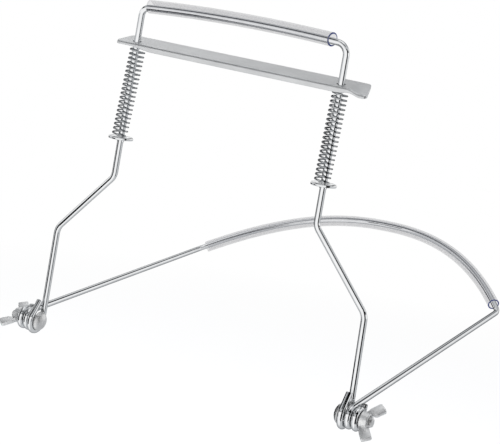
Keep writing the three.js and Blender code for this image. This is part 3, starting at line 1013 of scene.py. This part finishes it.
@dataclass
class PivotHardware:
    """The dome-headed bolts with their rolled thread, and the stamped wing nuts."""

    stack: PivotStack
    head_diameter: float = 9.8
    head_height: float = 3.0
    head_edge: float = 0.35
    head_root_edge: float = 0.12
    dome_steps: int = 13
    round_sides: int = 48
    thread_pitch: float = 0.8
    thread_depth: float = 0.42
    thread_start: float = 4.5
    thread_core_share: float = 0.9
    end_chamfer: float = 0.5
    row_step: float = 0.1
    nut_face_diameter: float = 8.4
    nut_end_diameter: float = 7.4
    nut_edge: float = 0.4
    face_edge: float = 0.2
    end_roll: tuple[tuple[float, float], ...] = ((0.08, 0.64), (0.0, 0.4), (-0.12, 0.16), (-0.4, 0.0))
    bore_gap: float = 0.3
    bore_edge: float = 0.25
    wing_width: float = 5.1
    wing_thickness: float = 1.8
    wing_root: float = 3.3
    wing_tip_radius: float = 9.6
    wing_tip_reach: float = 4.9
    wing_corner: float = 0.9
    wing_edge: float = 0.22
    wing_round_shares: tuple[tuple[float, float], ...] = ((0.0, 1.0), (0.4, 0.35), (1.0, 0.0))
    left_angle: float = 25.0
    right_angle: float = 39.0

    def along_axis(self, side: Side, spread: float) -> Matrix:
        """The matrix that lays a piece turned about Z along the pivot, outwards on one side.

        Args:
            side: The side of the rack.
            spread: Distance of the piece's foot from the middle, in millimetres.

        Returns:
            A matrix from the piece's millimetres to the frame's metres.
        """
        lay = Matrix.Rotation(side.value * math.pi / 2, 4, "Y")
        return Matrix.Translation(DATUM.place(side.value * spread, 0, 0)) @ Matrix.Scale(MM, 4) @ lay

    def build_bolt(self, side: Side) -> None:
        """Build one bolt with its dome, shank, thread and chamfered end.

        Args:
            side: The side of the rack.
        """
        radius = self.head_diameter / 2
        shank = self.stack.bolt / 2
        length = self.stack.bolt_end - self.stack.head_face
        profile = [(0.0, -self.head_height)]
        for step in range(1, self.dome_steps):
            angle = math.pi / 2 * (1 - step / self.dome_steps)
            profile.append((radius * math.cos(angle), -self.head_height * math.sin(angle)))
        profile += [(radius, -self.head_edge), (radius, 0.0), (shank, 0.0), (shank, self.head_root_edge)]
        rows = round((length - self.end_chamfer) / self.row_step)
        profile += [(shank, self.row_step * (row + 2)) for row in range(rows - 2)]
        profile += [(shank, length - self.end_chamfer), (shank - self.end_chamfer, length),
                    (0.0, length)]

        def ridge(wide: float, height: float, share: float) -> float:
            """Cut the thread's groove into the shank.

            Args:
                wide: The radius without the thread.
                height: Distance from under the head.
                share: Share of the turn.

            Returns:
                The radius there.
            """
            if height < self.thread_start or wide < shank * self.thread_core_share:
                return wide
            turn = (height / self.thread_pitch - share) % 1.0
            depth = self.thread_depth * abs(2 * turn - 1)
            fade = min((height - self.thread_start) / self.thread_pitch, 1.0)
            return wide - depth * fade

        build = turned(profile, self.round_sides, ridge)
        build.transform(self.along_axis(side, self.stack.head_face))
        piece = from_bmesh(f"{side.word}_pivot_bolt", build, sharp_degrees=50.0)
        finish_piece(piece, Body.NECK, (f"{side.word}_bolt",), NICKEL)

    def wing_outline(self) -> list[Vector]:
        """Draw the wing's outline.

        Returns:
            Its points: first coordinate out from the axis, second along it.
        """
        middle = self.stack.nut_length / 2
        root = Vector((self.wing_root, middle, 0))
        tip = Vector((self.wing_tip_radius, middle + self.wing_tip_reach, 0))
        along = (tip - root).normalized()
        across = Vector((along.y, -along.x, 0))
        half = self.wing_width / 2
        corners = [
            Vector((self.wing_root, self.nut_edge, 0)),
            Vector((self.nut_face_diameter / 2, self.nut_edge, 0)),
            tip - along * self.wing_width + across * half,
            tip + across * half,
            tip - across * half,
            tip - along * self.wing_width - across * half,
            Vector((self.nut_end_diameter / 2, self.stack.nut_length - self.nut_edge / 2, 0)),
            Vector((self.wing_root, self.stack.nut_length - self.nut_edge, 0)),
        ]
        return rounded(corners, self.wing_corner)

    def build_nut(self, side: Side) -> None:
        """Build one wing nut: a hub with its bore and two flat wings.

        Args:
            side: The side of the rack.
        """
        bore, edge = self.stack.bolt / 2 + self.bore_gap, self.bore_edge
        face, end, length = self.nut_face_diameter / 2, self.nut_end_diameter / 2, self.stack.nut_length
        build = bmesh.new()
        add_ring(build, [
            (bore + edge, 0.0), (face - self.face_edge, 0.0), (face, self.face_edge),
            *((end + out, length - back) for out, back in self.end_roll),
            (bore + edge, length), (bore, length - edge), (bore, edge)], self.round_sides)
        outline = self.wing_outline()
        centre = sum(outline, Vector()) / len(outline)
        layers = [(-self.wing_thickness / 2 + self.wing_edge * up, self.wing_edge * inset)
                  for up, inset in self.wing_round_shares]
        layers += [(-height, inset) for height, inset in reversed(layers)]
        for wing in (0, 1):
            spin = Matrix.Rotation(wing * math.pi, 4, "Z")
            sections = []
            for height, inset in layers:
                drawn = [point + (centre - point).normalized() * inset for point in outline]
                sections.append([spin @ Vector((point.x, height, point.y)) for point in drawn])
            add_loft(build, sections)
        angle = self.left_angle if side is Side.LEFT else self.right_angle
        rest = Matrix.Rotation(math.radians(angle), 4, "X")
        lay = Matrix((
            (0, 0, side.value, 0),
            (1, 0, 0, 0),
            (0, 1, 0, 0),
            (0, 0, 0, 1)))
        place = Matrix.Translation(DATUM.place(side.value * self.stack.nut_face, 0, 0))
        build.transform(place @ Matrix.Scale(MM, 4) @ rest @ lay)
        piece = from_bmesh(f"{side.word}_pivot_wing_nut", build, sharp_degrees=45.0)
        body = Body.LEFT_NUT if side is Side.LEFT else Body.RIGHT_NUT
        finish_piece(piece, body, (f"{side.word}_wing_nut",), ZINC)

    def build(self) -> None:
        """Build the bolts and wing nuts of both sides."""
        for side in Side:
            self.build_bolt(side)
            self.build_nut(side)


@dataclass
class SpringClamp:
    """The clamp plate, the springs that push it up and the stop washers under them."""

    frame: ClampFrame
    washer_thickness: float = 1.3
    washer_diameter: float = 12.0
    washer_hole: float = 3.8
    washer_edge: float = 0.18
    washer_top_roll: float = 0.252
    round_sides: int = 56
    spring_wire: float = 0.8
    spring_outer: float = 7.7
    spring_turns: int = 20
    spring_steps_per_turn: int = 28
    spring_sides: int = 10
    spring_foot_shift: float = -1.1
    left_spring_head_shift: float = 1.1
    right_spring_head_shift: float = 0.3
    slide_travel: float = 24.0
    plate_height: float = 146.2
    plate_tilt: float = 11.0
    plate_roll: float = 0.7
    sheet: float = 1.2
    front: float = 5.4
    rear: float = 10.6
    left_reach: float = 7.8
    right_reach: float = 15.8
    right_rear_reach: float = 10.2
    lip_height: float = 2.7
    lip_edge: float = 0.25
    lip_left_fade: float = 14.0
    lip_right_reach: float = 5.0
    front_bend: float = 0.9
    front_bend_steps: int = 6
    sheet_edge: float = 0.18
    top_steps: int = 12
    lip_root_shares: tuple[float, ...] = (0.4, 1.0)
    length_steps: int = 110
    corner_steps: int = 8
    hole: float = 4.4
    hole_sides: int = 40
    drill_length: float = 8.1
    tab_drop: float = 1.7
    tab_start: float = 5.5
    tab_bend_length: float = 7.0
    corner_round: float = 2.6
    tab_bend_power: float = 1.5

    def top_at(self, x: float, y: float) -> float:
        """Height of the plate's top face at a place, before the thumb tab bends down."""
        rise = (y - self.frame.leg_depth) * math.tan(math.radians(self.plate_tilt))
        return self.plate_height + rise - x * math.tan(math.radians(self.plate_roll))

    def build_washer(self, side: Side) -> None:
        """Build one stop washer with broken edges.

        Args:
            side: The side of the rack.
        """
        outer, inner = self.washer_diameter / 2, self.washer_hole / 2
        thick, edge, roll = self.washer_thickness, self.washer_edge, self.washer_top_roll
        build = bmesh.new()
        add_ring(build, [
            (inner + edge, 0.0), (outer - edge, 0.0), (outer, edge), (outer, thick - roll),
            (outer - roll, thick), (inner + edge, thick), (inner, thick - edge), (inner, edge)],
            self.round_sides)
        seat = self.frame.washer_seat
        foot = DATUM.place(self.frame.leg_at(side, seat), self.frame.leg_depth, seat)
        build.transform(Matrix.Translation(foot) @ Matrix.Scale(MM, 4))
        piece = from_bmesh(f"{side.word}_washer", build, sharp_degrees=50.0)
        finish_piece(piece, Body.ARM, (f"{side.word}_stop_washer",), CHROME_WASHER)

    def build_spring(self, side: Side) -> None:
        """Wind one spring between its washer and the plate.

        Args:
            side: The side of the rack.
        """
        gap = self.frame.stack.touch_gap
        reach = self.spring_outer / 2
        floor = self.frame.washer_seat + self.washer_thickness + gap
        start = floor + self.spring_wire / 2
        foot = self.frame.leg_at(side, start) + self.spring_foot_shift
        head = self.frame.leg_at(side, self.plate_height) + (
            self.left_spring_head_shift if side is Side.LEFT else self.right_spring_head_shift)
        lowest = min(self.top_at(head + offset, self.frame.leg_depth - reach)
                     for offset in (-reach, reach))
        drop = self.sheet / math.cos(math.radians(self.plate_tilt))
        top = lowest - drop - gap - self.spring_wire / 2
        name = f"{side.word}_coil_spring"
        piece = run_tree(placed(name, bpy.data.meshes.new(name)), spring_tree(), {
            "Turns": float(self.spring_turns),
            "Coil radius": (self.spring_outer - self.spring_wire) / 2 * MM,
            "Height": (top - start) * MM,
            "Wire radius": self.spring_wire / 2 * MM,
            "Steps per turn": self.spring_steps_per_turn,
            "Sides": self.spring_sides,
            "Lean": Vector((head - foot, 0, 0)) * MM,
            "Place": DATUM.place(foot, self.frame.leg_depth, start),
            "Finish": MUSIC_WIRE.material()})
        finish_piece(piece, Body.ARM, (f"{side.word}_spring",))
        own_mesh(piece)

    def lip_at(self, x: float) -> float:
        """Find how far the turned-down lip reaches below the top face.

        Args:
            x: The place along the plate, in millimetres from the middle.

        Returns:
            The lip's reach, in millimetres.
        """
        leg = self.frame.leg_spread
        low = self.sheet + self.lip_edge
        left = smooth_share(x, -leg, -leg + self.lip_left_fade)
        right = 1 - smooth_share(x, leg, leg + 2 * self.lip_right_reach)
        return low + (self.lip_height - low) * left * right

    def section(self, x: float) -> list[Vector]:
        """The plate's section at one place: top face, front bend, lip and underside.

        Args:
            x: The place along the plate, in millimetres from the middle.

        Returns:
            The section's points in the frame, going round once.
        """
        leg, depth = self.frame.leg_spread, self.frame.leg_depth
        from_end = min(x + leg + self.left_reach, leg + self.right_reach - x)
        into = max(self.corner_round - from_end, 0.0)
        inset = self.corner_round - math.sqrt(max(self.corner_round ** 2 - into ** 2, 0.0))
        front, rear = depth - self.front + inset, depth + self.rear - inset
        lip, bend, sheet, edge = self.lip_at(x), self.front_bend, self.sheet, self.sheet_edge
        outline = [(rear - edge, 0.0)]
        outline += [(rear + (front + bend - rear) * step / self.top_steps, 0.0)
                    for step in range(1, self.top_steps)]
        for step in range(self.front_bend_steps + 1):
            angle = math.pi / 2 * step / self.front_bend_steps
            outline.append((front + bend * (1 - math.sin(angle)), -bend * (1 - math.cos(angle))))
        outline += [(front, -lip + edge), (front + edge, -lip), (front + sheet - edge, -lip),
                    (front + sheet, -lip + edge)]
        outline += [(front + sheet + self.lip_edge * share, -sheet - self.lip_edge * (1 - share) / 2)
                    for share in self.lip_root_shares]
        outline += [(rear - edge, -sheet), (rear, -sheet + edge), (rear, -edge)]
        drop = self.tab_drop * smooth_share(
            x, leg + self.tab_start, leg + self.tab_start + self.tab_bend_length)
        past_leg = min(max((x - leg) / self.right_reach, 0.0), 1.0)
        slant = (self.right_reach - self.right_rear_reach) * past_leg
        points = []
        for y, height in outline:
            rear_share = (y - depth + self.front) / (self.front + self.rear)
            bent = drop * max(1 - rear_share, 0.0) ** self.tab_bend_power
            points.append(DATUM.place(x - slant * rear_share, y, self.top_at(x, y) + height - bent))
        return points

    def places(self) -> list[float]:
        """Choose where the plate's section is drawn, closest at the ends.

        Returns:
            The places along the plate, in millimetres from the middle.
        """
        start, end = -self.frame.leg_spread - self.left_reach, self.frame.leg_spread + self.right_reach
        corner = [math.pi / 2 * step / self.corner_steps for step in range(self.corner_steps + 1)]
        left = [start + self.corner_round * (1 - math.cos(a)) for a in corner]
        right = [end - self.corner_round * (1 - math.sin(a)) for a in corner]
        span = right[0] - left[-1]
        middle = (left[-1] + span * step / self.length_steps for step in range(1, self.length_steps))
        return [*left, *middle, *right]

    def build_plate(self) -> None:
        """Build the plate: the lofted sheet with a hole for each leg."""
        build = bmesh.new()
        add_loft(build, [self.section(x) for x in self.places()])
        plate = from_bmesh("clamp_sheet", build, sharp_degrees=60.0)
        for side in Side:
            build = bmesh.new()
            bmesh.ops.create_cone(
                build, cap_ends=True, segments=self.hole_sides, depth=self.drill_length * MM,
                radius1=self.hole / 2 * MM, radius2=self.hole / 2 * MM)
            leg = self.frame.leg_at(side, self.plate_height)
            centre = DATUM.place(leg, self.frame.leg_depth, self.top_at(leg, self.frame.leg_depth))
            build.transform(Matrix.Translation(centre))
            drill = from_bmesh(f"{side.word}_drill", build)
            cut = plate.modifiers.new(drill.name, "BOOLEAN")
            cut.operation = "DIFFERENCE"
            cut.solver = "EXACT"
            cut.object = drill
        plate = baked(plate, sharp_degrees=38.0)
        for side in Side:
            bpy.data.objects.remove(bpy.data.objects[f"{side.word}_drill"])
        finish_piece(plate, Body.CLAMP, ("clamp_plate",), CHROME_SHEET)

    def build(self) -> None:
        """Build the washers, the springs and the plate."""
        for side in Side:
            self.build_washer(side)
            self.build_spring(side)
        self.build_plate()


# Studio

WHITE = linear("ffffff")


def compass(azimuth: float) -> Vector:
    """Level direction at an azimuth in degrees: 0 points to the rack's front, 90 to its right."""
    turn = math.radians(azimuth)
    return Vector((math.sin(turn), -math.cos(turn), 0.0))


def stage_card(name: str, paint_name: str,
               corners: list[Vector]) -> tuple[bpy.types.Object, bpy.types.NodeTree]:
    """Stand a flat four-sided card in the studio.

    Args:
        name: The card's name.
        paint_name: The name of its material.
        corners: Its corners in metres.

    Returns:
        The card, and its material's empty tree.
    """
    build = bmesh.new()
    build.faces.new([build.verts.new(corner) for corner in corners])
    piece = from_bmesh(name, build)
    paint = bpy.data.materials.new(paint_name)
    piece.data.materials.append(paint)
    return piece, cleared(paint)


@dataclass(frozen=True)
class Flag:
    """A black card beside the rack, seen only in glossy things: its line gives bright wires their shape."""

    name: str
    azimuth: float
    distance: float
    width: float
    low: float
    high: float
    aim_x: float
    colour: str = "0c0d0e"

    def build(self) -> None:
        """Stand the card up, facing the leg or eye that it is aimed at."""
        beside = compass(self.azimuth + 90.0) * self.width / 2
        centre = Vector((self.aim_x, 0, 0)) + compass(self.azimuth) * self.distance
        corners = [DATUM.place(*(centre + beside * side + Vector((0, 0, height)))) for side, height in (
            (-1, self.low), (1, self.low), (1, self.high), (-1, self.high))]
        piece, tree = stage_card(self.name, f"{self.name}_black_velvet", corners)
        matt = add_node(tree, "ShaderNodeBsdfDiffuse", {"Color": linear(self.colour)})
        add_node(tree, "ShaderNodeOutputMaterial", {"Surface": matt.outputs[0]})
        piece.visible_camera = piece.visible_diffuse = piece.visible_shadow = False
        piece.visible_transmission = piece.visible_volume_scatter = False


@dataclass(frozen=True)
class Lamp:
    """A soft square lamp that faces the rack and stays out of what metal mirrors."""

    name: str
    place_m: tuple[float, float, float]
    size_m: float
    watts: float
    aim_m: tuple[float, float, float] = (0.0, -0.12, 0.0)

    def build(self) -> None:
        """Hang the lamp."""
        data = bpy.data.lights.new(self.name, "AREA")
        data.size = self.size_m
        data.energy = self.watts
        lamp = placed(self.name, data)
        lamp.visible_glossy = False
        turn = (Vector(self.aim_m) - Vector(self.place_m)).to_track_quat("-Z", "Y")
        lamp.matrix_world = Matrix.Translation(self.place_m) @ turn.to_matrix().to_4x4()


@dataclass(frozen=True)
class Panel:
    """One wall panel of the room that metal mirrors, by its azimuth and its rise over the horizon."""

    colour: str
    azimuth: float
    half_turn: float
    soft_turn: float
    rise: tuple[float, float]
    soft_rise: float

    def share(self, tree: bpy.types.NodeTree, level: bpy.types.NodeSocket,
              height: bpy.types.NodeSocket) -> bpy.types.NodeSocket:
        """Work out how far a direction lies in the panel.

        Args:
            tree: The world's tree.
            level: The direction's level part, one long.
            height: The direction's rise, the sine of its elevation.

        Returns:
            The share's socket, 1 inside the panel and 0 outside.
        """
        facing = add_node(tree, "ShaderNodeVectorMath", {
            0: level, 1: compass(self.azimuth)}, operation="DOT_PRODUCT")
        wide, narrow = (math.cos(math.radians(v))
                        for v in (self.half_turn + self.soft_turn, self.half_turn))
        middle = sum(self.rise) / 2
        half = (self.rise[1] - self.rise[0]) / 2
        off = add_node(tree, "ShaderNodeMath", {0: height, 1: middle}, operation="SUBTRACT")
        away = add_node(tree, "ShaderNodeMath", {0: off.outputs[0]}, operation="ABSOLUTE")
        across, upright = (
            add_node(tree, "ShaderNodeMapRange", {"Value": value, "From Min": start, "From Max": end},
                     interpolation_type="SMOOTHSTEP").outputs[0]
            for value, start, end in ((facing.outputs["Value"], wide, narrow),
                                      (away.outputs[0], half + self.soft_rise, half)))
        return add_node(tree, "ShaderNodeMath", {0: across, 1: upright}, operation="MULTIPLY").outputs[0]


@dataclass
class Studio:
    """The camera at the photograph's place, the pale floor, the lamps and the room that metal mirrors."""

    camera_place: tuple[float, float, float] = (336.243, -610.801, 181.309)
    azimuth: float = 27.136
    elevation: float = 8.794
    roll: float = 9.559
    lens_mm: float = 108.0
    sensor_mm: float = 36.0
    clip_m: tuple[float, float] = (0.01, 60.0)
    floor_drop_mm: float = 160.0
    floor_half_m: float = 6.0
    floor_colour: str = "f7f7f8"
    floor_glow: float = 0.26
    shadow_reach_m: tuple[float, float] = (0.35, 1.0)
    light_colour: str = "e8e9ea"
    light_strength: float = 0.55
    room_colour: str = "c8cacc"
    panels: tuple[Panel, ...] = (
        Panel("ffffff", 0.0, 175.0, 5.0, (0.955, 1.2), 0.03),
        Panel("ffffff", 0.0, 175.0, 5.0, (0.05, 0.27), 0.03),
        Panel("2a2c2e", 0.0, 175.0, 5.0, (0.34, 0.48), 0.03),
        Panel("ffffff", 5.0, 40.0, 10.0, (-1.1, 0.4), 0.08),
        Panel("ffffff", 150.0, 22.0, 8.0, (-0.02, 0.48), 0.05),
        Panel("0c0d0e", 158.0, 16.0, 7.0, (0.58, 0.73), 0.04),
        Panel("ffffff", 243.0, 24.0, 8.0, (0.04, 0.27), 0.03),
        Panel("1c1e20", 236.0, 14.0, 8.0, (0.3, 0.37), 0.03),
        Panel("1c1e20", 240.0, 24.0, 8.0, (-0.3, -0.06), 0.04),
        Panel("ffffff", 219.0, 18.0, 8.0, (0.38, 0.62), 0.03),
        Panel("0c0d0e", 193.0, 10.0, 9.0, (0.27, 0.47), 0.05),
        Panel("060708", 22.0, 34.0, 8.0, (0.73, 0.86), 0.03),
        Panel("060708", -66.0, 28.0, 9.0, (0.7, 0.92), 0.03),
    )
    flags: tuple[Flag, ...] = (
        Flag("left_flag", -41.0, 113.0, 82.0, -60.0, 100.0, -55.6),
        Flag("right_flag", 68.0, 113.0, 76.0, -60.0, 260.0, 55.6),
        Flag("right_eye_flag", -100.0, 25.0, 22.0, -16.0, 20.0, 90.0),
    )
    lamps: tuple[Lamp, ...] = (
        Lamp("key_lamp", (-0.9, -1.5, 1.3), 0.5, 14.0),
        Lamp("fill_lamp", (1.6, -0.6, 0.9), 0.8, 6.0),
        Lamp("top_lamp", (0.1, 0.2, 1.8), 0.9, 8.0),
    )

    def build_camera(self) -> None:
        """Place the camera at the photograph's viewing angle."""
        azimuth, elevation, roll = (math.radians(v) for v in (self.azimuth, self.elevation, self.roll))
        back = Vector((math.sin(azimuth) * math.cos(elevation),
                       -math.cos(azimuth) * math.cos(elevation), math.sin(elevation)))
        level = Vector((math.cos(azimuth), math.sin(azimuth), 0))
        rise = back.cross(level)
        right = level * math.cos(roll) + rise * math.sin(roll)
        up = rise * math.cos(roll) - level * math.sin(roll)
        data = bpy.data.cameras.new("camera")
        data.lens = self.lens_mm
        data.sensor_width = self.sensor_mm
        data.clip_start, data.clip_end = self.clip_m
        camera = placed("camera", data)
        turn = Matrix((right, up, back)).transposed().to_4x4()
        camera.matrix_world = Matrix.Translation(DATUM.place(*self.camera_place)) @ turn
        bpy.context.scene.camera = camera

    def build_floor(self) -> None:
        """Lay the pale floor: white all round, with the rack's soft shadow near it; metal sees the room."""
        low, half = CAD_BOX[0].z - self.floor_drop_mm * MM, self.floor_half_m
        _, tree = stage_card("floor", "white_seamless_paper", [
            Vector((x, y, low)) for x, y in ((-half, -half), (half, -half), (half, half), (-half, half))])
        matt = add_node(tree, "ShaderNodeBsdfDiffuse", {"Color": linear(self.floor_colour)})
        glow = add_node(tree, "ShaderNodeEmission", {"Color": WHITE, "Strength": self.floor_glow})
        near = add_node(tree, "ShaderNodeAddShader", {0: matt.outputs[0], 1: glow.outputs[0]})
        plain = add_node(tree, "ShaderNodeEmission", {"Color": WHITE, "Strength": 1.0})
        reach = add_node(tree, "ShaderNodeVectorMath", {
            0: add_node(tree, "ShaderNodeTexCoord").outputs["Object"]}, operation="LENGTH")
        away = add_node(tree, "ShaderNodeMapRange", {
            "Value": reach.outputs["Value"],
            "From Min": self.shadow_reach_m[0], "From Max": self.shadow_reach_m[1]})
        seen = add_node(tree, "ShaderNodeMixShader", {
            0: away.outputs[0], 1: near.outputs[0], 2: plain.outputs[0]})
        path = add_node(tree, "ShaderNodeLightPath").outputs
        lit = add_node(tree, "ShaderNodeMixShader", {
            0: path["Is Camera Ray"], 1: matt.outputs[0], 2: seen.outputs[0]})
        mirrored = add_node(tree, "ShaderNodeMixShader", {
            0: path["Is Glossy Ray"], 1: lit.outputs[0],
            2: add_node(tree, "ShaderNodeBsdfTransparent").outputs[0]})
        shown = add_node(tree, "ShaderNodeMixShader", {
            0: path["Is Transmission Ray"], 1: mirrored.outputs[0], 2: plain.outputs[0]})
        add_node(tree, "ShaderNodeOutputMaterial", {"Surface": shown.outputs[0]})

    def build_world(self) -> None:
        """Light the room evenly and white, and hang the panels that only metal and gloss mirror."""
        world = bpy.data.worlds.new("white_room")
        bpy.context.scene.world = world
        tree = cleared(world)
        heading = add_node(tree, "ShaderNodeTexCoord").outputs["Generated"]
        height = add_node(tree, "ShaderNodeSeparateXYZ", {0: heading}).outputs["Z"]
        flat = add_node(tree, "ShaderNodeVectorMath", {
            0: heading, 1: (1.0, 1.0, 0.0)}, operation="MULTIPLY")
        level = add_node(tree, "ShaderNodeVectorMath", {
            0: flat.outputs[0]}, operation="NORMALIZE").outputs[0]
        colour = linear(self.room_colour)
        for panel in self.panels:
            colour = add_node(tree, "ShaderNodeMix", {
                0: panel.share(tree, level, height), 6: colour, 7: linear(panel.colour)},
                data_type="RGBA").outputs[2]
        mirrored = add_node(tree, "ShaderNodeBackground", {"Color": colour, "Strength": 1.0})
        plain = add_node(tree, "ShaderNodeBackground", {
            "Color": linear(self.light_colour), "Strength": self.light_strength})
        white = add_node(tree, "ShaderNodeBackground", {"Color": WHITE, "Strength": 1.0})
        path = add_node(tree, "ShaderNodeLightPath").outputs
        lit = add_node(tree, "ShaderNodeMixShader", {
            0: path["Is Glossy Ray"], 1: plain.outputs[0], 2: mirrored.outputs[0]})
        seen = add_node(tree, "ShaderNodeMath", {
            0: path["Is Camera Ray"], 1: path["Is Transmission Ray"]}, operation="MAXIMUM")
        shown = add_node(tree, "ShaderNodeMixShader", {
            0: seen.outputs[0], 1: lit.outputs[0], 2: white.outputs[0]})
        add_node(tree, "ShaderNodeOutputWorld", {"Surface": shown.outputs[0]})

    def build(self) -> None:
        """Build the camera, the floor, the world, the black cards and the lamps."""
        self.build_camera()
        self.build_floor()
        self.build_world()
        for thing in (*self.flags, *self.lamps):
            thing.build()
        bpy.context.scene.view_settings.view_transform = "Standard"


def main() -> None:
    """Build the studio and the rack's sub-assemblies in order."""
    logging.basicConfig(level=logging.INFO, format="%(name)s: %(message)s")
    Studio().build()
    stack = PivotStack()
    clamp_frame = ClampFrame(stack)
    clamp_frame.build()
    NeckLoop(stack).build()
    PivotHardware(stack).build()
    SpringClamp(clamp_frame).build()


if __name__ == "__main__":
    main()
